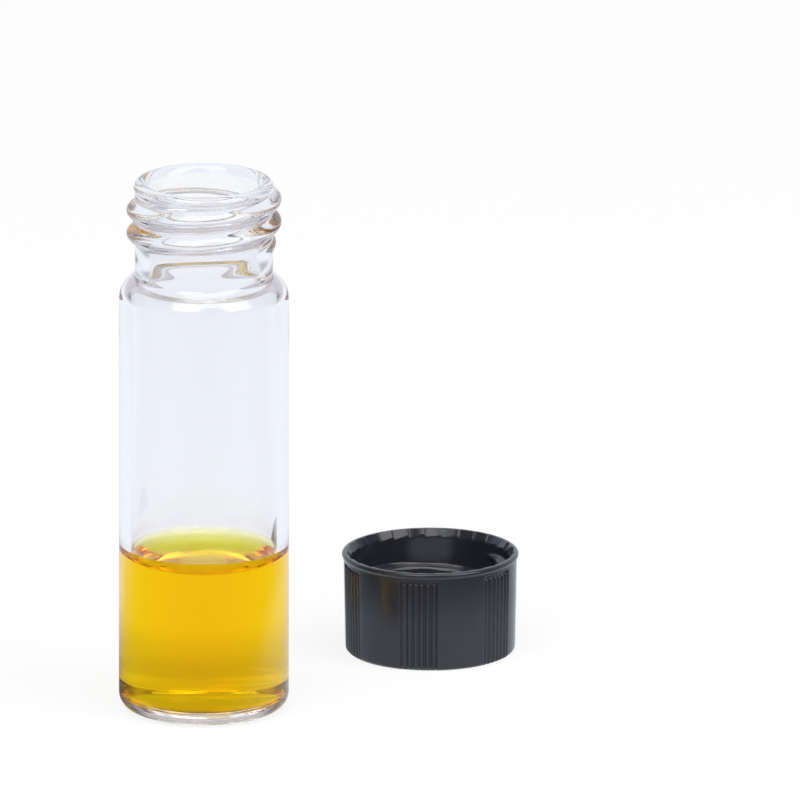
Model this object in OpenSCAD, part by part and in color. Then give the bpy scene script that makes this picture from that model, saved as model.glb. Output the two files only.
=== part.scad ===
// Screw-neck sample vial of clear glass, part filled, with its cap and liner taken off beside it.
// The origin is on the vial's axis at the table, +Z up.

/* [Vial body] */
// Outside diameter of the body
body_d = 15; // [14.4:0.1:18]
// Height from the table to the top of the lip
vial_h = 48.2; // [36:0.1:75]
// Thickness of the body wall
wall_t = 1.05; // [0.8:0.05:1.3]
// Thickness of the base under the sample
base_t = 1; // [0.8:0.05:2]
// Rounding of the outer edge of the base
base_r = 1.5; // [1:0.1:1.8]
// Rounding of the inner edge of the floor
floor_r = 1.1; // [0.5:0.1:1.8]
// Width of the hollow under the base
kick_d = 10.8; // [8:0.1:11]
// Height of the hollow under the base
kick_h = 0.4; // [0.2:0.05:0.7]
// Rounding of the shoulder
shoulder_r = 2.2; // [1.8:0.1:2.4]
// Rounding of the throat, where the neck's bore opens into the body
throat_r = 1.4; // [0.5:0.1:1.8]

/* [Vial neck] */
// Outside diameter of the neck between the ridges of the thread
neck_d = 12.1; // [11.6:0.1:12.6]
// Height from the top of the shoulder to the top of the lip
neck_h = 8.7; // [8.2:0.1:12]
// Bore of the neck
mouth_d = 9.7; // [8.5:0.1:10]
// Rounding at the foot of the neck
neck_fillet = 0.3; // [0.1:0.05:0.6]
// Outside diameter of the lip
lip_d = 12.4; // [11.8:0.1:12.6]

/* [Thread] */
// Height of the vial's ridge above the neck
ridge_h = 0.8; // [0.6:0.02:0.9]
// Width of the vial's ridge at its root
ridge_w = 2.05; // [1.4:0.05:2.05]
// Width of the cap's ridge at its root
cap_ridge_w = 1.15; // [0.6:0.05:1.2]
// Rise of the thread in one turn
pitch = 2.1; // [2.1:0.05:2.5]
// Depth of the vial's first crest under the top of the lip
vial_lead = 1.65; // [1.4:0.05:2]
// Depth of the cap's first crest inside the rim
cap_lead = 1.9; // [1.6:0.05:2.2]
// Angle over which the vial's ridge is at its full height
vial_arc = 645; // [360:15:660]
// Angle over which the cap's ridge is at its full height
cap_arc = 420; // [300:15:450]
// Gap between the crest of the vial's ridge and the cap's wall
root_gap = 0.1; // [0.08:0.01:0.3]
// Gap between the crest of the cap's ridge and the lip
lip_gap = 0.13; // [0.1:0.01:0.3]

/* [Cap] */
// Height of the cap
cap_h = 9; // [8.4:0.1:9.6]
// Thickness of the closed end
crown_t = 1.1; // [0.8:0.1:1.6]
// Rounding of the edge of the closed end
crown_r = 0.5; // [0.3:0.05:0.7]
// Thickness of the skirt at the open end
skirt_t = 0.7; // [0.6:0.05:1.2]
// How much narrower the cap is at its closed end
taper = 0.3; // [0:0.05:0.4]
// Height of the bead round the open end
bead_h = 0.5; // [0.3:0.05:0.8]
// How far the bead stands out from the skirt
bead_out = 0.15; // [0.05:0.05:0.4]

/* [Teeth inside the rim] */
// Number of teeth
teeth = 30; // [20:1:40]
// Depth of the toothed chamfer
tooth_h = 0.8; // [0.5:0.1:1]
// Width of the toothed chamfer at the rim
tooth_w = 0.5; // [0.3:0.02:0.54]
// Step from one tooth to the next
tooth_step = 0.14; // [0.06:0.02:0.2]

/* [Grip] */
// Number of ribbed bands round the cap
bands = 6; // [4:1:8]
// Angle that a band takes
band_arc = 25; // [22:1:32]
// Depth of the bands in the skirt
band_sink = 0.2; // [0.1:0.02:0.24]
// Distance from the end of the bands to the bead
band_end = 0.3; // [0.1:0.05:0.6]
// Number of ribs in a band
ribs = 6; // [4:1:6]
// Thickness of a rib
rib_d = 0.38; // [0.3:0.02:0.42]

/* [Liner] */
// Diameter of the liner
liner_d = 13; // [12.8:0.1:13.2]
// Thickness of the liner
liner_t = 1.3; // [0.8:0.1:1.6]
// Gap round the liner in its pocket
liner_gap = 0.08; // [0.05:0.01:0.15]

/* [Sample] */
// Height of the sample's surface above the table
sample_h = 13.35; // [6:0.05:26]
// How far the sample climbs the glass
climb_h = 1.5; // [0.4:0.05:2]
// Width of the climbing edge of the sample
climb_w = 3; // [1:0.1:5]

/* [Cap beside the vial] */
// Distance left free between the vial and the cap
cap_clear = 12; // [4:0.5:30]
// Direction from the vial to the cap
cap_bearing = 43; // [0:1:360]
// Turn of the cap about its own axis
cap_turn = 22; // [0:1:60]

/* [Hidden] */
$fn = 128;

// Vial
body_r = body_d / 2;
bore_r = body_r - wall_t;
neck_r = neck_d / 2;
mouth_r = mouth_d / 2;
foot_r = body_r - base_r;
// the hollow under the base is a shallow dome of this radius, and the floor runs parallel to it
kick_r = (pow(kick_d / 2, 2) + pow(kick_h, 2)) / (2 * kick_h);
lip_r = (lip_d - mouth_d) / 4;
lip_z = vial_h - lip_r;
// the shoulder's arc, whose centre is at [shoulder_in, shoulder_z], ends on the neck
shoulder_in = body_r - shoulder_r;
shoulder_rise = sqrt(pow(shoulder_r, 2) - pow(max(0, neck_r - shoulder_in), 2));
shoulder_z = vial_h - neck_h - shoulder_rise;
inner_shoulder_r = shoulder_r - wall_t;
climb_r = (pow(climb_w, 2) + pow(climb_h, 2)) / (2 * climb_h);

// Cap, with its closed end on the table
wall_r = neck_r + ridge_h + root_gap;
cap_ridge_h = wall_r - max(neck_r, lip_d / 2) - lip_gap;
skirt_r = wall_r + skirt_t;
crown_edge = skirt_r - taper / 2;
rim_r = skirt_r + bead_out;
bead_z = cap_h - bead_h;
band_z = bead_z - band_end;
pocket_r = liner_d / 2 + liner_gap;
pocket_h = liner_t + 0.15;
cap_reach = body_r + cap_clear + rim_r;

// Thread
turn_step = 10;
ridge_facets = 4;
root_sink = 0.15;
vial_fades = [135, 45];
cap_fades = [30, 30];

cut = 0.1;

// A smooth rise from 0 at t = 0 to 1 at t = 1
function ease(t) = let (c = min(1, max(0, t))) c * c * (3 - 2 * c);

// A right-hand ridge on a wall of radius r0. It stands out by rise, or into the bore where rise is negative.
// Its section is a parabola, w wide at a root that is sunk in the wall. It is at full height over arc, which
// ends at angle 0 and height z0, and beyond that it fades over the two angles in fades, below and above.
module ridge(r0, rise, w, z0, arc, fades) {
    side = sign(rise);
    root_r = r0 - side * root_sink;
    low = -arc - fades[0];
    high = fades[1];
    last = round((high - low) / turn_step);
    across = 2 * ridge_facets + 1;
    rings = [for (i = [0 : last])
        let (
            a = low + (high - low) * i / last,
            full = min(ease((a - low) / fades[0]), ease((high - a) / fades[1])),
            lift = side * root_sink / 2 + (rise + side * root_sink / 2) * full,
            half = w / 4 * (1 + full)
        )
        [for (k = [0 : across - 1])
            let (u = side * (k / ridge_facets - 1), r = root_r + lift * (1 - u * u))
            [r * cos(a), r * sin(a), z0 + pitch * a / 360 + u * half]]];
    polyhedron(
        [for (ring = rings) each ring],
        [
            [for (k = [across - 1 : -1 : 0]) k],
            [for (k = [0 : across - 1]) last * across + k],
            for (i = [0 : last - 1], k = [0 : across - 1])
                let (a = i * across + k, b = i * across + (k + 1) % across)
                each [[a, b + across, a + across], [a, b, b + across]]
        ],
        convexity = 8);
}

// Right half of the flare by which a straight wall at radius wall widens into the shoulder. Its arc, of radius r,
// touches the wall and the arc of radius shoulder round the shoulder's centre.
module flare(wall, shoulder, r) {
    rise = sqrt(pow(shoulder + r, 2) - pow(wall + r - shoulder_in, 2));
    foot = rise * shoulder / (shoulder + r);
    difference() {
        translate([0, shoulder_z + foot])
            square([wall + r, rise - foot]);
        translate([wall + r, shoulder_z + rise])
            circle(r);
    }
}

// Right half of the glass's outline, as if it were solid
module vial_outside() {
    difference() {
        union() {
            flare(neck_r, shoulder_r, neck_fillet);
            square([foot_r, shoulder_z]);
            translate([0, base_r])
                square([body_r, shoulder_z - base_r]);
            translate([foot_r, base_r])
                circle(base_r);
            translate([0, base_r])
                square([shoulder_in, shoulder_z + shoulder_r - base_r]);
            translate([shoulder_in, shoulder_z])
                circle(shoulder_r);
            square([neck_r, lip_z]);
            translate([lip_d / 2 - lip_r, lip_z])
                circle(lip_r);
        }
        translate([0, kick_h - kick_r])
            circle(kick_r);
    }
}

// Right half of the space inside the glass
module vial_inside() {
    difference() {
        union() {
            translate([0, base_t])
                square([bore_r - floor_r, shoulder_z - base_t]);
            translate([bore_r - floor_r, base_t + floor_r])
                circle(floor_r);
            translate([0, base_t + floor_r])
                square([bore_r, shoulder_z - base_t - floor_r]);
        }
        translate([0, kick_h - kick_r])
            circle(kick_r + base_t);
    }
    translate([shoulder_in, shoulder_z])
        circle(inner_shoulder_r);
    translate([0, shoulder_z - inner_shoulder_r])
        square([shoulder_in, 2 * inner_shoulder_r]);
    flare(mouth_r, inner_shoulder_r, throat_r);
    translate([0, shoulder_z])
        square([mouth_r, lip_z - shoulder_z]);
}

module vial() {
    color([0.86, 0.92, 0.97, 0.5]) {
        rotate_extrude()
            difference() {
                vial_outside();
                vial_inside();
            }
        ridge(neck_r, ridge_h, ridge_w, vial_h - vial_lead, vial_arc, vial_fades);
    }
}

// The sample fills the glass up to a flat surface that curves up at the wall
module sample_liquid() {
    color([0.86, 0.68, 0.1])
        rotate_extrude()
            intersection() {
                vial_inside();
                difference() {
                    square([body_r, sample_h + climb_r]);
                    translate([0, sample_h])
                        square([bore_r - climb_w, climb_r + cut]);
                    translate([bore_r - climb_w, sample_h + climb_r])
                        circle(climb_r);
                }
            }
}

// Right half of the cap's outline, as if it were solid
module cap_outside() {
    square([crown_edge - crown_r, cap_h]);
    translate([crown_edge - crown_r, crown_r])
        circle(crown_r);
    polygon([[0, crown_r], [crown_edge, crown_r], [skirt_r, bead_z], [skirt_r, cap_h], [0, cap_h]]);
    translate([0, bead_z])
        square([rim_r - bead_h / 2, bead_h]);
    translate([rim_r - bead_h / 2, cap_h - bead_h / 2])
        circle(bead_h / 2);
}

// The chamfer inside the rim, cut as a ring of one-way teeth
module rim_teeth() {
    rim = wall_r + tooth_w;
    foot = wall_r - root_gap / 2;
    grow = (rim / foot - 1) / tooth_h;
    gap_arc = 0.4;
    translate([0, 0, cap_h - tooth_h])
        linear_extrude(height = tooth_h + cut, scale = 1 + grow * (tooth_h + cut))
            polygon([for (i = [0 : teeth - 1])
                each [
                    (foot - tooth_step) * [cos(360 * i / teeth), sin(360 * i / teeth)],
                    foot * [cos(360 * (i + 1) / teeth - gap_arc), sin(360 * (i + 1) / teeth - gap_arc)]
                ]]);
}

// One band: a pocket in the skirt, open over the edge of the crown
module band_pocket() {
    rotate([0, 0, -band_arc / 2])
        rotate_extrude(angle = band_arc)
            polygon([
                [crown_edge - band_sink, -cut], [rim_r + 1, -cut],
                [rim_r + 1, band_z], [skirt_r - band_sink, band_z]
            ]);
}

// The ribs on the floor of a band, rounded off at the bead
module band_ribs() {
    lean = atan((skirt_r - crown_edge) / band_z);
    for (i = [0 : ribs - 1])
        rotate([0, 0, band_arc * ((i + 0.5) / ribs - 0.5)])
            translate([crown_edge - band_sink, 0, crown_r])
                rotate([0, lean, 0]) {
                    cylinder(d = rib_d, h = band_z - crown_r - rib_d);
                    translate([0, 0, band_z - crown_r - rib_d])
                        sphere(d = rib_d);
                }
}

module screw_cap() {
    color([0.1, 0.1, 0.11])
        translate([cap_reach * cos(cap_bearing), cap_reach * sin(cap_bearing), 0])
            rotate([0, 0, cap_turn]) {
                difference() {
                    rotate_extrude()
                        difference() {
                            cap_outside();
                            translate([0, crown_t])
                                square([pocket_r, pocket_h]);
                            translate([0, crown_t + pocket_h])
                                square([wall_r, cap_h]);
                        }
                    rim_teeth();
                    for (i = [0 : bands - 1])
                        rotate([0, 0, 360 * i / bands])
                            band_pocket();
                }
                for (i = [0 : bands - 1])
                    rotate([0, 0, 360 * i / bands])
                        band_ribs();
                ridge(wall_r, -cap_ridge_h, cap_ridge_w, cap_h - cap_lead, cap_arc, cap_fades);
            }
}

module cap_liner() {
    color([0.62, 0.66, 0.7])
        translate([cap_reach * cos(cap_bearing), cap_reach * sin(cap_bearing), crown_t])
            cylinder(d = liner_d, h = liner_t);
}

vial();
sample_liquid();
screw_cap();
cap_liner();
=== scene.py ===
# Glass sample vial with a yellow sample, and its black screw cap lying beside it
import math

import bpy
import numpy as np
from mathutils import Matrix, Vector


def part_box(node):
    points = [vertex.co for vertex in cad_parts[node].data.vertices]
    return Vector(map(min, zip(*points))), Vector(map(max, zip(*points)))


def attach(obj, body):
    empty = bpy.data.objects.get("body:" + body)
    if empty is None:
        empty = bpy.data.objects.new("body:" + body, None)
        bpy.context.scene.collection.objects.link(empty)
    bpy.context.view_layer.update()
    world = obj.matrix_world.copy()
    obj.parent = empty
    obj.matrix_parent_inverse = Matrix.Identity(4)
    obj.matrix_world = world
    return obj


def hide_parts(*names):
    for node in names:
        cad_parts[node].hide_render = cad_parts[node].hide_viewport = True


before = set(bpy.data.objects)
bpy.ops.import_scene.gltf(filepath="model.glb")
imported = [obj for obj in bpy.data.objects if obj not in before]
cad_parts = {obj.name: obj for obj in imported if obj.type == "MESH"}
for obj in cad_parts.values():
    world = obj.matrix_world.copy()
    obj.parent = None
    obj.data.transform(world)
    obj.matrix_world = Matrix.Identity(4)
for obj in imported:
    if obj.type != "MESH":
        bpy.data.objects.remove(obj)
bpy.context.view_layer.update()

mm = 0.001
vialLow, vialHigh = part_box("vial")
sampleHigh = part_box("sample_liquid")[1]
capLow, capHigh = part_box("screw_cap")
linerLow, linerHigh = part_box("cap_liner")
capMiddle = ((capLow.x + capHigh.x) / 2, (capLow.y + capHigh.y) / 2)


def arc(centreR, centreZ, radius, start, end, steps):
    # points of a circle in the r, z plane, angles in degrees from +r
    return [(centreR + radius * math.cos(math.radians(a)), centreZ + radius * math.sin(math.radians(a)))
            for a in np.linspace(start, end, steps + 1)]


def line(start, end, steps):
    return [(start[0] + (end[0] - start[0]) * t, start[1] + (end[1] - start[1]) * t)
            for t in np.linspace(0, 1, steps + 1)]


def bend(start, corner, end, steps):
    # a soft corner: a quadratic curve that leaves start towards corner and arrives at end
    return [tuple((1 - t) ** 2 * s + 2 * t * (1 - t) * c + t * t * e for s, c, e in zip(start, corner, end))
            for t in np.linspace(0, 1, steps + 1)]


def joined(*runs):
    # one outline from several runs, without the doubled points where they meet
    meeting = 1e-4  # mm
    points = []
    for run in runs:
        for p in run:
            if not points or math.dist(points[-1], p) > meeting:
                points.append(p)
    return points


def poleAngle(r, radius):
    # degrees from the axis at which a circle of this radius, with its middle on the axis, reaches r out
    return math.degrees(math.asin(r / radius))


def turned(outline, columns):
    # the outline turned round the axis: the columns' angles, and grids of radii and heights, a row per point
    angles = np.linspace(0, 2 * math.pi, columns, endpoint=False)
    radii, heights = (np.array(values)[:, None] + np.zeros(columns) for values in zip(*outline))
    return angles, radii, heights


def lathe(name, angles, radii, heights, poles, centre=(0, 0)):
    # a mesh from such grids in mm, closed at its first and last row by poles at these heights on the axis
    rows, columns = radii.shape
    x, y = centre[0] / mm, centre[1] / mm
    rings = np.stack([x + radii * np.cos(angles), y + radii * np.sin(angles), heights], axis=2).reshape(-1, 3)
    verts = np.vstack([rings, [(x, y, pole) for pole in poles]])
    index = np.arange(rows * columns).reshape(rows, columns)
    after = np.roll(index, -1, axis=1)
    faces = np.stack([index[:-1], after[:-1], after[1:], index[1:]], axis=2).reshape(-1, 4).tolist()
    firstPole, lastPole = rows * columns, rows * columns + 1
    faces += [[firstPole, b, a] for a, b in zip(index[0], after[0])]
    faces += [[lastPole, a, b] for a, b in zip(index[-1], after[-1])]
    mesh = bpy.data.meshes.new(name)
    mesh.from_pydata((verts * mm).tolist(), [], faces)
    mesh.validate()
    mesh.shade_smooth()
    piece = bpy.data.objects.new(name, mesh)
    bpy.context.scene.collection.objects.link(piece)
    return piece


def faceRows(piece, columns):
    # the row at which each face of a lathed piece begins
    return np.array([min(face.vertices) for face in piece.data.polygons]) // columns


def paint(piece, name, values):
    # one value per face, which the material reads by this name
    layer = piece.data.attributes.new(name, "FLOAT", "FACE")
    layer.data.foreach_set("value", values.astype(float))


def ease(t):
    # a smooth step from 0 at 0 to 1 at 1
    t = np.clip(t, 0, 1)
    return t * t * (3 - 2 * t)


def softEdge(distance, reach):
    # a smooth step over this reach on either side of 0
    return ease(distance / reach / 2 + 0.5)


def softMax(a, b, k):
    # the larger of two, rounded where they differ by less than k
    near = np.maximum(k - np.abs(a - b), 0) / k
    return np.maximum(a, b) + near * near * k / 4


def helicalRidge(angles, heights, rise, width, top, pitch, turn, fades, blend):
    # how far a right-hand ridge stands out at each angle and height: its crest passes height top at angle 0,
    # leads down at full height for turn degrees, and fades out over so many degrees more below and above
    low, high = -turn - fades[0], fades[1]
    out = np.zeros(np.broadcast(angles, heights).shape)
    degrees = np.degrees(angles) % 360
    sink = 0.15     # mm that the edges of its rounded section lie under the surface
    absent = -1.0   # mm, too deep to round anything off
    for lap in range(math.floor(low / 360), math.ceil(high / 360)):
        a = degrees + 360 * lap
        full = np.minimum(ease((a - low) / fades[0]), ease((high - a) / fades[1]))
        live = (a > low) & (a < high)
        half = width / 4 * (1 + full)
        u = (heights - (top + pitch * a / 360)) / half
        lift = sink / 2 + (rise + sink / 2) * full
        ridge = np.where(live, lift * (1 - u * u) - sink, absent)
        out = softMax(out, ridge, blend)
    return out


def feed(tree, socket, value):
    # links an output of another node, and sets a plain value
    if isinstance(value, bpy.types.NodeSocket):
        tree.links.new(value, socket)
    else:
        socket.default_value = value


def nodeOf(tree, kind, **settings):
    # a setting is one of the node's own, or else what feeds the input of that name
    node = tree.nodes.new(kind)
    for key, value in settings.items():
        if hasattr(node, key):
            setattr(node, key, value)
        else:
            feed(tree, node.inputs[key.replace("_", " ")], value)
    return node


def worked(tree, operation, *values, kind="ShaderNodeMath", output=0):
    # the result of a maths node
    node = nodeOf(tree, kind, operation=operation)
    for socket, value in zip(node.inputs, values):
        feed(tree, socket, value)
    return node.outputs[output]


def multiplied(tree, first, *others):
    for other in others:
        first = worked(tree, "MULTIPLY", first, other)
    return first


def mixedShader(tree, share, first, second):
    node = nodeOf(tree, "ShaderNodeMixShader")
    for socket, value in zip(node.inputs, (share, first, second)):
        feed(tree, socket, value)
    return node.outputs[0]


def mixedColour(tree, share, first, second):
    # of the Mix node's sockets, inputs 6 and 7 and output 2 are the colours
    node = nodeOf(tree, "ShaderNodeMix", data_type="RGBA")
    for index, value in ((0, share), (6, first), (7, second)):
        feed(tree, node.inputs[index], value)
    return node.outputs[2]


def emptyTree(owner):
    owner.use_nodes = True
    owner.node_tree.nodes.clear()
    return owner.node_tree


def newMaterial(name):
    material = bpy.data.materials.new(name)
    tree = emptyTree(material)
    shader = nodeOf(tree, "ShaderNodeBsdfPrincipled")
    out = nodeOf(tree, "ShaderNodeOutputMaterial", Surface=shader.outputs[0])
    return material, tree, shader, out


def placeGroup(tree, group, **values):
    node = tree.nodes.new("ShaderNodeGroup")
    node.node_tree = group
    for key, value in values.items():
        node.inputs[key].default_value = value
    return node.outputs


grain = {
    "slow": 0.16,        # scale of the drift and of the marks, as a share of the fine grain's
    "markWidth": 0.03,   # width of a mark, as a share of the cells whose edges the marks follow
}


# Fine unevenness that every surface here has, at its own scale and depth:
# a slow drift of tone, a height for the bump and a mask of handling marks
def makeSurfaceGrain():
    group = bpy.data.node_groups.new("surfaceGrain", "ShaderNodeTree")
    face = group.interface
    for name, value in (("Scale", 400.0), ("Stretch", 1.0), ("Marks", 0.5)):
        face.new_socket(name, in_out="INPUT", socket_type="NodeSocketFloat").default_value = value
    for name in ("Tone", "Height", "Marks"):
        face.new_socket(name, in_out="OUTPUT", socket_type="NodeSocketFloat")
    inside = nodeOf(group, "NodeGroupInput").outputs
    where = nodeOf(group, "ShaderNodeTexCoord").outputs["Object"]
    squash = nodeOf(group, "ShaderNodeCombineXYZ", X=1.0, Y=1.0, Z=inside["Stretch"]).outputs[0]
    place = worked(group, "MULTIPLY", where, squash, kind="ShaderNodeVectorMath")
    slow = worked(group, "MULTIPLY", inside["Scale"], grain["slow"])
    drift = nodeOf(group, "ShaderNodeTexNoise", Vector=place, Scale=slow, Detail=2.0, Roughness=0.5)
    fine = nodeOf(group, "ShaderNodeTexNoise", Vector=place, Scale=inside["Scale"], Detail=4.0, Roughness=0.6)
    cells = nodeOf(group, "ShaderNodeTexVoronoi", feature="DISTANCE_TO_EDGE", Vector=place, Scale=slow)
    marks = nodeOf(group, "ShaderNodeMapRange", Value=cells.outputs["Distance"],
                   From_Min=0.0, From_Max=grain["markWidth"], To_Min=1.0, To_Max=0.0)
    broken = multiplied(group, marks.outputs["Result"], drift.outputs[0], inside["Marks"])
    nodeOf(group, "NodeGroupOutput", Tone=drift.outputs[0], Height=fine.outputs[0], Marks=broken)
    return group


surfaceGrain = makeSurfaceGrain()
print("helpers ready")


view = {
    "elevation": 15.7,
    "frameWidth": 70.59,         # mm across the view
    "target": (17.3, 0, 28.05),  # mm
    "distance": 400,             # mm
}


def makeCamera():
    data = bpy.data.cameras.new("camera")
    data.type = "ORTHO"
    data.ortho_scale = view["frameWidth"] * mm
    data.clip_end = 5
    camera = bpy.data.objects.new("camera", data)
    bpy.context.scene.collection.objects.link(camera)
    tilt = math.radians(view["elevation"])
    back = Vector((0, -math.cos(tilt), math.sin(tilt)))
    camera.location = (Vector(view["target"]) + back * view["distance"]) * mm
    camera.rotation_euler = (math.radians(90) - tilt, 0, 0)
    bpy.context.scene.camera = camera


makeCamera()


light = {
    "ambient": (0.26, 0.27, 0.29),   # soft light from all round
    # two soft boxes: azimuth from the camera's side and elevation in degrees, width in metres
    "boxes": [(-29, 55, 0.58), (54, 50, 0.54)],
    "boxHeight": 1.0,
    "boxDistance": 0.85,
    "boxGlow": 3.1,                  # brightness of a box, where plain white is 1
    "aim": (0.008, 0, 0.02),         # what the boxes face, metres
    "wall": (0.65, 0.585, 0.59),     # backdrop's upright part as glass shows it, where white is 1
    # what glass shows of the dim room above, beside and in front of the backdrop, as a share of the wall:
    # that dim where the ray's direction has the reach's first value, and bright as the wall at its second
    "ceiling": 0.25, "ceilingReach": (0.85, 0.5),
    "sides": 0.12, "sideReach": (0.75, 0.5),
    "front": 0.45, "frontReach": (-0.35, 0.0),
    "glossTone": (0.80, 0.84, 0.94),  # the white that polished surfaces mirror
    "frontGloss": 0.12, "glossReach": (0.1, 0.6),  # and what they mirror of the dim room in front
}


def seenBy(tree, *rays):
    # 1 where the ray is any of these kinds
    path = nodeOf(tree, "ShaderNodeLightPath").outputs
    result = path[rays[0]]
    for ray in rays[1:]:
        result = worked(tree, "MAXIMUM", result, path[ray])
    return result


def mirrored(tree):
    # 1 where the ray left a polished surface by reflection, since sharp glass counts as glossy both ways
    path = nodeOf(tree, "ShaderNodeLightPath").outputs
    return multiplied(tree, path["Is Glossy Ray"], path["Is Reflection Ray"])


def brightening(tree, source, reach, low):
    # from low where the source is at the reach's first value to 1 at its second
    return nodeOf(tree, "ShaderNodeMapRange", interpolation_type="SMOOTHSTEP", Value=source,
                  From_Min=reach[0], From_Max=reach[1], To_Min=low, To_Max=1.0).outputs["Result"]


def makeWorld():
    world = bpy.data.worlds.new("studio")
    bpy.context.scene.world = world
    tree = emptyTree(world)
    toCamera = seenBy(tree, "Is Camera Ray")
    soft = nodeOf(tree, "ShaderNodeBackground", Color=(*light["ambient"], 1))
    # the backdrop stands behind the table, and the room in front of it and high above it is dim
    direction = nodeOf(tree, "ShaderNodeTexCoord").outputs["Generated"]
    split = nodeOf(tree, "ShaderNodeSeparateXYZ", Vector=direction).outputs
    across = worked(tree, "ABSOLUTE", split["X"])
    dim = multiplied(tree,
                     brightening(tree, split["Z"], light["ceilingReach"], light["ceiling"]),
                     brightening(tree, across, light["sideReach"], light["sides"]),
                     brightening(tree, split["Y"], light["frontReach"], light["front"]))
    tone = mixedColour(tree, toCamera, (*light["wall"], 1), (1, 1, 1, 1))
    room = nodeOf(tree, "ShaderNodeBackground", Color=tone, Strength=worked(tree, "MAXIMUM", dim, toCamera))
    gloss = nodeOf(tree, "ShaderNodeBackground", Color=(*light["glossTone"], 1),
                   Strength=brightening(tree, split["Y"], light["glossReach"], light["frontGloss"]))
    shown = seenBy(tree, "Is Camera Ray", "Is Transmission Ray")
    direct = mixedShader(tree, shown, soft.outputs[0], room.outputs[0])
    nodeOf(tree, "ShaderNodeOutputWorld",
           Surface=mixedShader(tree, mirrored(tree), direct, gloss.outputs[0]))


def makeLamps():
    for i, (azimuth, elevation, width) in enumerate(light["boxes"]):
        data = bpy.data.lights.new(f"softbox{i + 1}", "AREA")
        data.shape = "RECTANGLE"
        data.size, data.size_y = width, light["boxHeight"]
        data.energy = light["boxGlow"] * math.pi * width * light["boxHeight"]
        lamp = bpy.data.objects.new(f"softbox{i + 1}", data)
        bpy.context.scene.collection.objects.link(lamp)
        a, e = math.radians(azimuth), math.radians(elevation)
        away = Vector((math.sin(a) * math.cos(e), -math.cos(a) * math.cos(e), math.sin(e)))
        lamp.location = Vector(light["aim"]) + away * light["boxDistance"]
        lamp.rotation_euler = away.to_track_quat("Z", "Y").to_euler()


floorLook = {
    "half": 0.8,             # from its middle to a side, metres
    "drop": 0.00002,         # under the vial's foot, so that the two faces stay apart, metres
    "colour": 0.92,
    "glowSeen": 0.85,        # share of plain white in what the camera sees, so that the shadow stays faint
    "glowThrough": 1.0,      # the same through glass
    # painted shadow and light on the floor that the glass shows, by distance from the vial's axis, metres:
    # painted shade under its foot, a painted patch of light a little brighter where the light that it gathers
    # falls, and a painted shadow further out
    "shadow": ((0.0, 0.80), (0.0085, 0.80), (0.0095, 0.84), (0.0115, 0.84),
               (0.0130, 0.72), (0.0170, 0.72), (0.0290, 1.0)),
    # painted shade: what the glass shows of the sheet where it runs out of the light beside and in front of
    # the vial, metres
    "far": 0.55, "sideReach": (0.25, 0.06), "frontReach": (-0.16, -0.04),
    # painted reflection: polished surfaces see the sheet painted white this near the cap, and all of it
    # behind the vial, metres
    "whiteReach": (0.036, 0.018), "behindReach": (0.0, 0.04),
}


def paintedShadowCurve(tree, distance):
    # the painted shadow's brightness at a distance from the axis, as the dictionary gives it
    shadow = floorLook["shadow"]
    reach = shadow[-1][0]
    share = nodeOf(tree, "ShaderNodeMapRange", Value=distance, From_Max=reach)
    ramp = nodeOf(tree, "ShaderNodeFloatCurve", Value=share.outputs["Result"])
    curve = ramp.mapping.curves[0]
    while len(curve.points) < len(shadow):
        curve.points.new(0.5, 0.5)
    for point, (at, bright) in zip(curve.points, shadow):
        point.location = (at / reach, bright)
        point.handle_type = "VECTOR"
    ramp.mapping.update()
    return ramp.outputs["Value"]


def makeFloorMaterial():
    look = floorLook
    material = bpy.data.materials.new("paleFloor")
    tree = emptyTree(material)
    toCamera, gloss = seenBy(tree, "Is Camera Ray"), light["frontGloss"]
    matte = nodeOf(tree, "ShaderNodeBsdfDiffuse", Color=(*[look["colour"]] * 3, 1))
    place = nodeOf(tree, "ShaderNodeNewGeometry").outputs["Position"]
    split = nodeOf(tree, "ShaderNodeSeparateXYZ", Vector=place).outputs
    across = worked(tree, "ABSOLUTE", split["X"])
    fromAxis = worked(tree, "LENGTH", place, kind="ShaderNodeVectorMath", output="Value")
    # the floor's glow as the glass shows it carries a painted shadow round the vial's axis
    paintedShading = multiplied(tree, paintedShadowCurve(tree, fromAxis),
                        # painted shade beside and in front of the vial
                        brightening(tree, across, look["sideReach"], look["far"]),
                        brightening(tree, split["Y"], look["frontReach"], look["far"]))
    glow = nodeOf(tree, "ShaderNodeEmission", Strength=worked(tree, "MAXIMUM", paintedShading, toCamera))
    seen = worked(tree, "MULTIPLY", toCamera, look["glowSeen"])
    glowing = worked(tree, "MULTIPLY_ADD", seenBy(tree, "Is Transmission Ray"), look["glowThrough"], seen)
    direct = mixedShader(tree, glowing, matte.outputs[0], glow.outputs[0])
    # painted reflection: to polished surfaces the floor glows white near the cap and behind the vial, and dim
    # elsewhere
    fromCap = worked(tree, "DISTANCE", place, (*capMiddle, 0), kind="ShaderNodeVectorMath", output="Value")
    white = worked(tree, "MAXIMUM",
                   brightening(tree, fromCap, look["whiteReach"], gloss),
                   brightening(tree, split["Y"], look["behindReach"], gloss))
    paintedSheen = nodeOf(tree, "ShaderNodeEmission", Color=(*light["glossTone"], 1), Strength=white)
    nodeOf(tree, "ShaderNodeOutputMaterial",
           Surface=mixedShader(tree, mirrored(tree), direct, paintedSheen.outputs[0]))
    return material


def makeFloor():
    half = floorLook["half"]
    mesh = bpy.data.meshes.new("floor")
    corners = [(-half, -half, 0), (half, -half, 0), (half, half, 0), (-half, half, 0)]
    mesh.from_pydata(corners, [], [[0, 1, 2, 3]])
    mesh.materials.append(makeFloorMaterial())
    floor = bpy.data.objects.new("floor", mesh)
    bpy.context.scene.collection.objects.link(floor)
    floor.location.z = -floorLook["drop"]


makeWorld()
makeLamps()
makeFloor()
print("camera, light and floor ready")


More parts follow.
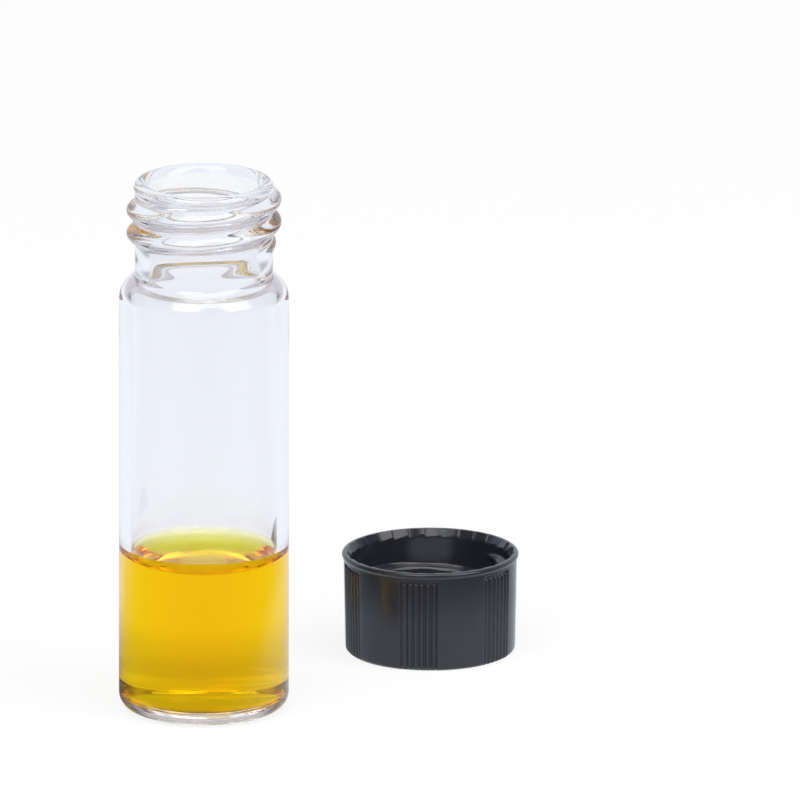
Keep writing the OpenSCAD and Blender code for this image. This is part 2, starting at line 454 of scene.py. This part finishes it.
vial = {  # lengths in mm and angles in degrees
    "wall": 1.05, "base": 1.0, "footRound": 1.5, "floorRound": 1.1,
    "kickWidth": 10.8, "kickHeight": 0.4, "kickSoft": 0.25,   # the hollow under the base, and its soft edge
    "shoulderRound": 2.2, "neckWidth": 12.1, "neckHeight": 8.7, "mouthWidth": 9.7, "lipWidth": 12.4,
    "neckFillet": 0.3, "throatRound": 1.4,
    # the floor's rounding ends at this angle, and a bend leads on to the domed floor: it starts this far out
    # and up from the rounding's lowest point, and ends this far in and up from the dome there
    "floorAngle": -84, "bendOut": (0.115, 0.006), "bendIn": (0.25, 0.035),
    # the lip swells out of the neck by two bends: depths under the lip's middle at which the first begins and
    # turns and the second begins and turns, and how far outside the neck the second begins
    "swell": (0.55, 0.3, 0.22, 0.12), "swellOut": 0.07,
    "ridgeRise": 0.8, "ridgeWidth": 2.05, "ridgeBlend": 0.16,
    "pitch": 2.1, "firstCrest": 1.65, "fullTurn": 645, "fades": (135, 45),   # below and above
    "columns": 288, "neckStep": 0.075,   # fineness of the mesh, round the vial and up its neck
    "tint": (0.892, 0.924, 1.0), "toneSpan": (0.995, 1.005), "index": 1.47,
    "keptAlong": (0.82, 0.79, 0.74), "alongDepth": 0.05,   # light led along the wall comes out brown
    "grain": {"Scale": 180.0, "Stretch": 0.25, "Marks": 0.2},
    "bump": {"Strength": 0.12, "Distance": 0.0002},
}


def glassSizes():
    # sizes of the body and its floor that the glass and the sample share
    v = vial
    bodyR = (vialHigh.x - vialLow.x) / 2 / mm
    boreR = bodyR - v["wall"]
    kickR, kickH = v["kickWidth"] / 2, v["kickHeight"]
    domeR = (kickR ** 2 + kickH ** 2) / (2 * kickH)
    floorR = domeR + v["base"]
    floorIn = boreR - v["floorRound"]
    return {
        "bodyR": bodyR, "boreR": boreR, "kickR": kickR, "domeR": domeR, "domeZ": kickH - domeR,
        "floorR": floorR, "floorIn": floorIn, "floorEdge": poleAngle(floorIn - v["bendIn"][0], floorR),
        "roundZ": v["base"] + v["floorRound"],
        "underside": kickH, "floorTop": kickH + v["base"], "contact": sampleHigh.z / mm,
    }


def flare(wall, shoulderIn, shoulderR, flareR):
    # the arc by which a straight wall widens into the shoulder: its height over the shoulder's centre,
    # and the angle at which it touches the shoulder's own arc
    out = wall + flareR - shoulderIn
    rise = math.sqrt((shoulderR + flareR) ** 2 - out ** 2)
    return rise, math.degrees(math.atan2(rise, out))


def vialOutlines():
    # the glass in one round: from the hollow of the base up the outside, over the lip and down the inside
    v, g = vial, glassSizes()
    bodyR, boreR, contact = g["bodyR"], g["boreR"], g["contact"]
    neckR, mouthR, lipOut = v["neckWidth"] / 2, v["mouthWidth"] / 2, v["lipWidth"] / 2
    lipR = (lipOut - mouthR) / 2
    lipZ = vialHigh.z / mm - lipR
    shoulderR, fillet, throatR = v["shoulderRound"], v["neckFillet"], v["throatRound"]
    shoulderIn, innerRound = bodyR - shoulderR, shoulderR - v["wall"]
    shoulderZ = vialHigh.z / mm - v["neckHeight"] - math.sqrt(shoulderR ** 2 - (neckR - shoulderIn) ** 2)
    filletRise, filletMeet = flare(neckR, shoulderIn, shoulderR, fillet)
    throatRise, throatMeet = flare(mouthR, shoulderIn, innerRound, throatR)

    kickR, kickSoft, footRound = g["kickR"], v["kickSoft"], v["footRound"]
    footR = bodyR - footRound
    dome = arc(0, g["domeZ"], g["domeR"], 90, 90 - poleAngle(kickR - kickSoft, g["domeR"]), 14)[1:]
    foot = joined(
        dome,
        bend(dome[-1], (kickR, 0.0), (kickR + kickSoft, 0.0), 4),
        line((kickR + kickSoft, 0), (footR, 0), 2),
        arc(footR, footRound, footRound, -90, 0, 18),
        line((bodyR, footRound), (bodyR, contact), 4),
        line((bodyR, contact), (bodyR, shoulderZ), 4),
        arc(shoulderIn, shoulderZ, shoulderR, 0, filletMeet, 20))

    begin, turn, over, end = [lipZ - depth for depth in v["swell"]]
    neckFoot = shoulderZ + filletRise
    neck = joined(
        arc(neckR + fillet, neckFoot, fillet, 180 + filletMeet, 180, 8),
        line((neckR, neckFoot), (neckR, begin), round((begin - neckFoot) / v["neckStep"])))
    middle = (neckR + v["swellOut"], over)
    swell = joined(
        bend(neck[-1], (neckR, turn), middle, 3),
        bend(middle, (lipOut, end), (lipOut, lipZ), 3))
    lip = arc(lipOut - lipR, lipZ, lipR, 0, 180, 24)

    throatZ, roundZ, floorIn = shoulderZ + throatRise, g["roundZ"], g["floorIn"]
    floorZ = g["domeZ"] + g["floorR"] * math.cos(math.radians(poleAngle(floorIn, g["floorR"])))
    inward, upward = v["bendIn"]
    rounding = arc(floorIn, roundZ, v["floorRound"], 0, v["floorAngle"], 12)
    inside = joined(
        line((mouthR, lipZ), (mouthR, throatZ), 40),
        arc(mouthR + throatR, throatZ, throatR, 180, 180 + throatMeet, 20),
        arc(shoulderIn, shoulderZ, innerRound, throatMeet, 0, 14),
        line((boreR, shoulderZ), (boreR, contact), 6),
        line((boreR, contact), (boreR, roundZ), 6),
        rounding,
        bend(rounding[-1], (floorIn, floorZ), (floorIn - inward, floorZ + upward), 3),
        arc(0, g["domeZ"], g["floorR"], 90 - g["floorEdge"], 90, 14)[:-1])
    return foot, neck, swell, lip, inside


# the bore of a neck pressed in a mould is not true: it follows the ridge, wanders, and leans at the throat;
# lengths are in mm and angles in radians
bore = {
    "wave": 0.03, "waveStart": 2.0,
    "drift": 0.01, "ovalTo": 0.8, "lobesTo": 2.4, "lobeTwist": 0.5,
    "lean": 0.03, "leanTo": 1.2, "ripple": 0.01, "rippleTo": 1.0, "throatReach": 1.3,
    "start": 0.8, "startFade": 1.2,   # depth under the mouth where it sets in, and the length that takes
    "end": 0.6, "endFade": 1.6,       # the same for its end, from the neck's foot down
}


def unevenBore(angles, heights):
    # what the unevenness adds to the bore's radii and heights
    b, neckHeight = bore, vial["neckHeight"]
    below = vialHigh.z / mm - heights
    along = ease((below - b["start"]) / b["startFade"]) * ease((neckHeight + b["end"] - below) / b["endFade"])
    ridgeTurn = angles + 2 * math.pi * below / vial["pitch"] + b["waveStart"]
    oval, lobes = 2 * angles + b["ovalTo"], 3 * angles + b["lobesTo"] + b["lobeTwist"] * below
    waves = b["wave"] * np.cos(ridgeTurn) + b["drift"] * (np.cos(oval) + np.cos(lobes))
    throat = np.exp(-((below - neckHeight) / b["throatReach"]) ** 2)
    tilt = b["lean"] * np.cos(angles - b["leanTo"]) + b["ripple"] * np.cos(5 * angles + b["rippleTo"])
    return waves * along, throat * tilt


def makeVial():
    v, g = vial, glassSizes()
    foot, neck, swell, lip, inside = vialOutlines()
    outer = joined(foot, neck, swell, lip)
    outline = joined(outer, inside)
    angles, radii, heights = turned(outline, v["columns"])
    # the ridge grows from the neck, and blends into the swelling under the lip
    rows = slice(len(foot) - 1, len(joined(foot, neck, swell)) - 1)
    neckR, crest = v["neckWidth"] / 2, vialHigh.z / mm - v["firstCrest"]
    ridge = helicalRidge(angles, heights[rows], v["ridgeRise"], v["ridgeWidth"], crest,
                         v["pitch"], v["fullTurn"], v["fades"], v["ridgeBlend"])
    radii[rows] = neckR + softMax(radii[rows] - neckR, ridge, v["ridgeBlend"])
    waves, tilt = unevenBore(angles, heights)
    radii[len(outer):] += waves[len(outer):]
    heights[len(outer):] += tilt[len(outer):]
    piece = lathe("glass_vial", angles, radii, heights, (g["underside"], g["floorTop"]))
    # the wall does not bend light where the sample wets it, and the tint lies on the outside,
    # fainter where the sample's own colour is behind it
    insideRow = len(outer) - 1
    dryRow, wetRow = [row for row, point in enumerate(outline) if math.isclose(point[1], g["contact"])]
    faces = faceRows(piece, v["columns"])
    paint(piece, "wetted", faces >= wetRow)
    paint(piece, "coloured", np.select([faces >= insideRow, faces >= dryRow], [0.0, 1.0], 0.5))
    piece.data.materials.append(makeGlass())
    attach(piece, "root")
    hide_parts("vial")


def absorption(tree, out, kept, depth):
    # colours the inside so that light keeps these shares of red, green and blue over that depth
    rates = [-math.log(share) / depth for share in kept]
    spare = 1.02  # so that even the colour that is absorbed most keeps a value over 0
    density = max(rates) * spare
    absorb = nodeOf(tree, "ShaderNodeVolumeAbsorption", Density=density,
                    Color=(*[1 - rate / density for rate in rates], 1))
    feed(tree, out.inputs["Volume"], absorb.outputs[0])


def bendLight(tree, shader, mask, dry, wet):
    # the relative index of refraction: dry where the mask is 0 and wet where it is 1
    shader.inputs["Transmission Weight"].default_value = 1.0
    shader.inputs["Roughness"].default_value = 0.0
    faces = nodeOf(tree, "ShaderNodeAttribute", attribute_name=mask)
    relative = nodeOf(tree, "ShaderNodeMapRange", Value=faces.outputs["Fac"], To_Min=dry, To_Max=wet)
    feed(tree, shader.inputs["IOR"], relative.outputs["Result"])


def makeGlass():
    v = vial
    material, tree, shader, out = newMaterial("clearGlass")
    bendLight(tree, shader, "wetted", v["index"], 1.0)
    uneven = placeGroup(tree, surfaceGrain, **v["grain"])
    deeper, paler = ((*[min(1, c * share) for c in v["tint"]], 1) for share in v["toneSpan"])
    shades = mixedColour(tree, uneven["Tone"], deeper, paler)
    coloured = nodeOf(tree, "ShaderNodeAttribute", attribute_name="coloured").outputs["Fac"]
    feed(tree, shader.inputs["Base Color"], mixedColour(tree, coloured, (1, 1, 1, 1), shades))
    bump = nodeOf(tree, "ShaderNodeBump", Height=uneven["Tone"], **v["bump"])
    feed(tree, shader.inputs["Normal"], bump.outputs[0])
    absorption(tree, out, v["keptAlong"], v["alongDepth"])
    return material


makeVial()
print("vial ready")


sample = {
    "climbWidth": 3.0, "climbHeight": 1.5,   # mm that its surface climbs at the wall
    "overlap": 0.02,                   # how far it reaches into the glass, so that no film of air is left
    "index": 1.36,
    "clearOver": (0.985, 0.56, 2e-9),  # share of red, green and blue left after crossing the bore
    "columns": 224, "hub": 0.3,
}


def makeSample():
    s, v, g = sample, vial, glassSizes()
    extra, climb = s["overlap"], s["climbWidth"]
    boreR, floorIn, roundZ = g["boreR"], g["floorIn"], g["roundZ"]
    level = g["contact"] - s["climbHeight"]
    climbR = (climb ** 2 + s["climbHeight"] ** 2) / (2 * s["climbHeight"])
    outward, upward = v["bendOut"]
    bottom = arc(0, g["domeZ"], g["floorR"] - extra, 90, 90 - g["floorEdge"], 14)[1:]
    corner = (floorIn, bottom[-1][1] - v["bendIn"][1])
    walls = joined(
        bottom,
        bend(bottom[-1], corner, (floorIn + outward, v["base"] + upward - extra), 3),
        arc(floorIn, roundZ, v["floorRound"] + extra, v["floorAngle"], 0, 12),
        line((boreR + extra, roundZ), (boreR + extra, g["contact"] + extra / 2), 14))
    outline = joined(
        walls,
        arc(boreR - climb, level + climbR, climbR, poleAngle(climb, climbR) - 90, -90, 18),
        line((boreR - climb, level), (s["hub"], level), 12))
    angles, radii, heights = turned(outline, s["columns"])
    piece = lathe("yellow_sample", angles, radii, heights, (g["floorTop"] - extra, level))
    # faces against the glass carry 1, the free surface 0
    paint(piece, "againstGlass", faceRows(piece, s["columns"]) < len(walls) - 1)
    piece.data.materials.append(makeLiquid())
    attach(piece, "root")
    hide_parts("sample_liquid")


def makeLiquid():
    s = sample
    material, tree, shader, out = newMaterial("yellowSample")
    bendLight(tree, shader, "againstGlass", s["index"], s["index"] / vial["index"])
    shader.inputs["Base Color"].default_value = (1, 1, 1, 1)
    absorption(tree, out, s["clearOver"], 2 * glassSizes()["boreR"] * mm)
    return material


makeSample()
print("sample ready")


cap = {  # lengths in mm and angles in degrees
    "crownRound": 0.5, "skirt": 0.7, "taper": 0.3, "edgeRound": 0.08,
    "beadHeight": 0.5, "beadOut": 0.148, "beadStart": -50, "beadSeam": 0.02,   # rolled bead round the mouth
    "teeth": 30, "toothHeight": 0.8, "toothWidth": 0.5, "toothStep": 0.14, "toothFall": 0.06,
    "bands": 6, "bandArc": 25, "bandSink": 0.2, "bandEnd": 0.3, "ribs": 6, "ribSize": 0.38,
    "ridgeWidth": 1.15, "firstCrest": 1.9, "fullTurn": 420, "fades": (30, 30),
    "rootGap": 0.1, "lipGap": 0.13,                           # room round the neck's ridge and over its lip
    "mouthRound": 0.1, "linerGap": 0.08, "linerStep": 0.15,   # the step stands this much over the liner
    "turn": 22,                                               # how far it is turned as it lies
    "columnsPerBand": 120, "hub": 0.4, "fineRows": 0.6,       # closer rows this far under the bands' ends
    "dark": (0.018, 0.019, 0.025), "worn": (0.024, 0.0255, 0.033),
    "roughness": (0.15, 0.27), "roughBy": "Marks",
    "grain": {"Scale": 2200.0, "Stretch": 1.0, "Marks": 0.5},
    "bump": {"Strength": 0.12, "Distance": 0.00002},
}


def capSizes():
    c, v = cap, vial
    neckR = v["neckWidth"] / 2
    wallR = neckR + v["ridgeRise"] + c["rootGap"]
    skirtR = wallR + c["skirt"]
    height = capHigh.z / mm
    return {
        "height": height, "wallR": wallR, "skirtR": skirtR, "crownR": skirtR - c["taper"] / 2,
        "beadZ": height - c["beadHeight"], "bandZ": height - c["beadHeight"] - c["bandEnd"],
        "ridgeRise": wallR - max(neckR, v["lipWidth"] / 2) - c["lipGap"],
        "toothZ": height - c["toothHeight"], "toothFoot": wallR - c["rootGap"] / 2,
        "floorZ": linerLow.z / mm, "stepZ": linerHigh.z / mm + c["linerStep"],
        "pocketR": liner["width"] / 2 + c["linerGap"],
    }


def capOutlines():
    # from the crown's middle up the outside, over the bead, and down the inside to the pocket's floor
    c, z = cap, capSizes()
    soft, crownRound, beadR = c["edgeRound"], c["crownRound"], c["beadHeight"] / 2
    top, crownR, wallR, pocketR, stepZ = z["height"], z["crownR"], z["wallR"], z["pocketR"], z["stepZ"]
    lean = (z["skirtR"] - crownR) / (z["beadZ"] - crownRound)
    fineZ = z["bandZ"] - c["fineRows"]
    fine = (crownR + lean * (fineZ - crownRound), fineZ)
    crown = line((c["hub"], 0), (crownR - crownRound, 0), 4)
    skirt = joined(
        arc(crownR - crownRound, crownRound, crownRound, -90, 0, 8),
        line((crownR, crownRound), fine, 14),
        line(fine, (z["skirtR"], z["beadZ"] - c["beadSeam"]), 20))
    beadIn = z["skirtR"] + c["beadOut"] - beadR
    bead = arc(beadIn, top - beadR, beadR, c["beadStart"], 90, 10)
    mouth = c["mouthRound"]
    ridgeTop = (wallR, z["toothZ"] - mouth)
    wall = joined(
        line((beadIn, top), (wallR + mouth, top), 3),
        bend((wallR + mouth, top), (wallR, top), (wallR, top - mouth), 3),
        line((wallR, top - mouth), ridgeTop, 8),
        line(ridgeTop, (wallR, stepZ + soft), 52))
    pocket = joined(
        bend((wallR, stepZ + soft), (wallR, stepZ), (wallR - soft, stepZ), 3),
        bend((pocketR + soft / 2, stepZ), (pocketR, stepZ), (pocketR, stepZ - soft / 2), 2),
        line((pocketR, stepZ - soft / 2), (pocketR, z["floorZ"]), 2),
        line((pocketR, z["floorZ"]), (c["hub"], z["floorZ"]), 3))
    return crown, skirt, bead, wall, pocket


def ribbedBand(angles, heights, radii):
    # the skirt's radius with the ribbed pockets cut into it
    c, z = cap, capSizes()
    lap = 360 / c["bands"]
    local = (np.degrees(angles) + lap / 2) % lap - lap / 2
    inBand = softEdge(c["bandArc"] / 2 - np.abs(local), np.degrees(c["edgeRound"] / z["skirtR"]))
    ribStep = c["bandArc"] / c["ribs"]
    fromRib = np.radians((local + c["bandArc"] / 2) % ribStep - ribStep / 2) * z["skirtR"]
    # a rib is a rod that lies on the pocket's floor and is rounded off at the bead
    past = np.clip(heights - (z["bandZ"] - c["ribSize"]), 0, None)
    rib = np.sqrt(np.clip((c["ribSize"] / 2) ** 2 - fromRib ** 2 - past ** 2, 0, None))
    underBead = softEdge(z["bandZ"] - heights, c["edgeRound"])
    return radii + (rib - c["bandSink"]) * inBand * underBead


def rimTeeth(angles, heights, radii):
    # the wall's radius with one-way teeth cut into it, deepest at the rim
    c, z = cap, capSizes()
    share = np.clip((heights - z["toothZ"]) / c["toothHeight"], 0, 1)
    flank = (np.degrees(angles) * c["teeth"] / 360) % 1
    fall = c["toothFall"]
    saw = np.where(flank < 1 - fall, flank / (1 - fall), (1 - flank) / fall)
    grow = 1 + (z["wallR"] + c["toothWidth"] - z["toothFoot"]) / z["toothFoot"] * share
    cut = (z["toothFoot"] - c["toothStep"] + c["toothStep"] * saw) * grow
    return np.where(heights > z["toothZ"], np.maximum(radii, cut), radii)


def makeCap():
    c, z = cap, capSizes()
    crown, skirt, bead, wall, pocket = capOutlines()
    outside = joined(crown, skirt, bead)
    angles, radii, heights = turned(joined(outside, wall, pocket), c["bands"] * c["columnsPerBand"])
    rows = slice(len(crown), len(joined(crown, skirt)))
    radii[rows] = ribbedBand(angles, heights[rows], radii[rows])
    rows = slice(len(outside), len(joined(outside, wall)))
    crest = z["height"] - c["firstCrest"]
    ridge = helicalRidge(angles, heights[rows], z["ridgeRise"], c["ridgeWidth"], crest,
                         vial["pitch"], c["fullTurn"], c["fades"], c["edgeRound"])
    toothed = heights[rows] > z["toothZ"] - c["mouthRound"] / 2
    teeth = rimTeeth(angles, heights[rows], radii[rows])
    radii[rows] = np.where(toothed, teeth, radii[rows] - np.maximum(ridge, 0))
    angles = angles + math.radians(c["turn"])
    piece = lathe("black_cap", angles, radii, heights, (0.0, z["floorZ"]), capMiddle)
    piece.data.materials.append(makeMoulded("blackPlastic", c))
    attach(piece, "root")
    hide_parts("screw_cap")


liner = {
    "width": 13, "edgeRound": 0.18, "footRound": 0.05,   # mm
    "columns": 192, "hub": 0.3,
    "dark": (0.34, 0.375, 0.43), "worn": (0.38, 0.415, 0.475),
    "roughness": (0.5, 0.68), "roughBy": "Height",
    "grain": {"Scale": 1500.0, "Stretch": 1.0, "Marks": 0.5},
    "bump": {"Strength": 0.2, "Distance": 0.00002},
}


def makeLiner():
    n = liner
    low, high = linerLow.z / mm, linerHigh.z / mm
    r, soft, foot = n["width"] / 2, n["edgeRound"], n["footRound"]
    outline = joined(
        line((n["hub"], low), (r - foot, low), 8),
        bend((r - foot, low), (r, low), (r, low + foot), 3),
        line((r, low + foot), (r, high - soft), 4),
        arc(r - soft, high - soft, soft, 0, 90, 8),
        line((r - soft, high), (n["hub"], high), 20))
    angles, radii, heights = turned(outline, n["columns"])
    piece = lathe("liner_disc", angles, radii, heights, (low, high), capMiddle)
    piece.data.materials.append(makeMoulded("linerDisc", n))
    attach(piece, "root")
    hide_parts("cap_liner")


def clearInGlass(tree, shader):
    # rays that the vial's wall led round or the sample bent do not show the cap, so that no smear of it lies
    # on the glass; light crosses two or three faces along the wall, four straight through the empty vial,
    # and more through the sample
    path = nodeOf(tree, "ShaderNodeLightPath").outputs
    crossed = path["Transmission Depth"]
    alongWall, within = 2.5, 1.1  # takes in two and three
    straight = 4
    bent = worked(tree, "MAXIMUM",
                  worked(tree, "COMPARE", crossed, alongWall, within),
                  worked(tree, "GREATER_THAN", crossed, straight + 0.5))
    # a reflection that comes from further than the cap is wide lies on the vial
    far = worked(tree, "GREATER_THAN", path["Ray Length"], 2 * capSizes()["wallR"] * mm)
    onVial = multiplied(tree, far, path["Is Reflection Ray"])
    clear = nodeOf(tree, "ShaderNodeBsdfTransparent")
    return mixedShader(tree, worked(tree, "MAXIMUM", bent, onVial), shader.outputs[0], clear.outputs[0])


def makeMoulded(name, look):
    # the cap's and the liner's plastic: worn tone, uneven gloss and grain
    material, tree, shader, out = newMaterial(name)
    uneven = placeGroup(tree, surfaceGrain, **look["grain"])
    shades = mixedColour(tree, uneven["Tone"], (*look["dark"], 1), (*look["worn"], 1))
    feed(tree, shader.inputs["Base Color"], shades)
    smooth, rough = look["roughness"]
    gloss = nodeOf(tree, "ShaderNodeMapRange", Value=uneven[look["roughBy"]], To_Min=smooth, To_Max=rough)
    feed(tree, shader.inputs["Roughness"], gloss.outputs["Result"])
    bump = nodeOf(tree, "ShaderNodeBump", Height=uneven["Height"], **look["bump"])
    feed(tree, shader.inputs["Normal"], bump.outputs[0])
    feed(tree, out.inputs["Surface"], clearInGlass(tree, shader))
    return material


makeCap()
makeLiner()
print("cap and liner ready")

scene = bpy.context.scene
scene.view_settings.view_transform = "Standard"
bounces = 128  # light that the glass wall leads round is reflected many times
scene.cycles.max_bounces = bounces
scene.cycles.transmission_bounces = bounces
scene.cycles.glossy_bounces = bounces
